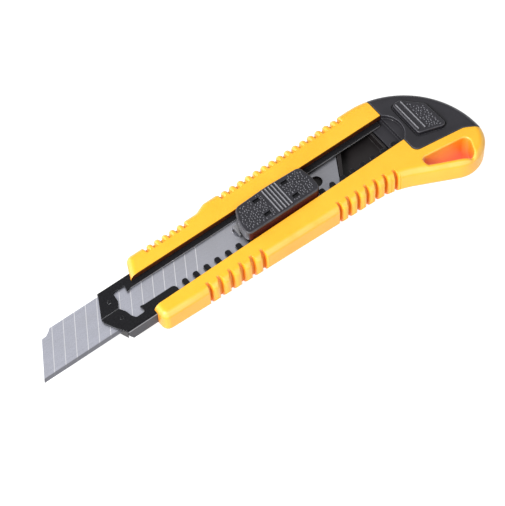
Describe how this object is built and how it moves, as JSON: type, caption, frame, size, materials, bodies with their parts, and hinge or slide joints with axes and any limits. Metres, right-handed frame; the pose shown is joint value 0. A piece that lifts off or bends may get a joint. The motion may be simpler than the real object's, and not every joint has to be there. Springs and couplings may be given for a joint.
{
  "type": "snap-off knife",
  "caption": "Auto-loading 18 mm snap-off knife: sliding scored blade in a steel channel, ribbed handle with hang hole, thumb slider, blade magazine and pull-off end cap.",
  "frame": {"origin": "centre of the handle's flat back, where it lies on a table, in the middle of its length over the channel's centre line", "axes": "+X from the blade's point back along the knife to the end cap, +Y from the cutting edge to the blade's back, +Z out of the face that carries the slider"},
  "size_m": [0.1971, 0.0491, 0.0161],
  "materials": {
    "orange_plastic": "moulded ABS, satin gloss, warm yellow-orange",
    "black_plastic": "moulded nylon, matt black",
    "cap_plastic": "moulded ABS, satin black with a pebbled grip",
    "pebbled_plastic": "moulded ABS, satin black, pebbled top",
    "black_steel": "black-coated sheet steel, bright at sheared edges",
    "blade_steel": "ground carbon steel, matt faces and polished bevel",
    "carriage_steel": "stamped steel, dull",
    "spring_steel": "bright spring steel",
    "rivet_steel": "zinc-plated steel"
  },
  "bodies": {
    "handle": {"handle_body": "orange_plastic", "blade_channel": "black_steel", "nose_insert": "black_plastic", "channel_rivets": "rivet_steel", "magazine_tray": "black_plastic", "magazine_spring": "spring_steel", "spring_rivet": "rivet_steel"},
    "slider": {"slider_button": "pebbled_plastic", "slider_carriage": "carriage_steel", "runner_plate": "carriage_steel", "carriage_rivets": "rivet_steel", "working_blade": "blade_steel"},
    "detent": {"detent_spring": "spring_steel"},
    "catch": {"blade_catch": "spring_steel"},
    "magazine_stack": {"follower_plate": "black_plastic", "spare_blade_upper": "blade_steel", "spare_blade_lower": "blade_steel"},
    "end_cap": {"end_cap": "cap_plastic"}
  },
  "joints": [
    {"name": "slider_slide", "type": "slide", "parent": "handle", "child": "slider", "axis": [1, 0, 0], "range_m": [-0.035, 0.035], "deforming": ["detent_spring"]},
    {"name": "detent_flex", "type": "hinge", "parent": "slider", "child": "detent", "pos_m": [-0.0002, -0.0037, 0.00964], "axis": [0, 0, 1], "range_deg": [-3.5, 0], "stiffness_Nm_per_rad": 0.05},
    {"name": "catch_lift", "type": "hinge", "parent": "slider", "child": "catch", "pos_m": [-0.0002, 0.0002, 0.0095], "axis": [0, 1, 0], "range_deg": [0, 2.6], "stiffness_Nm_per_rad": 0.1},
    {"name": "stack_press", "type": "slide", "parent": "handle", "child": "magazine_stack", "axis": [0, 0, 1], "range_m": [-0.001, 0], "stiffness_N_per_m": 1000, "springref_m": 0.001, "deforming": ["magazine_spring"]},
    {"name": "cap_pull", "type": "slide", "parent": "handle", "child": "end_cap", "axis": [1, 0, 0], "range_m": [0, 0.04]}
  ]
}
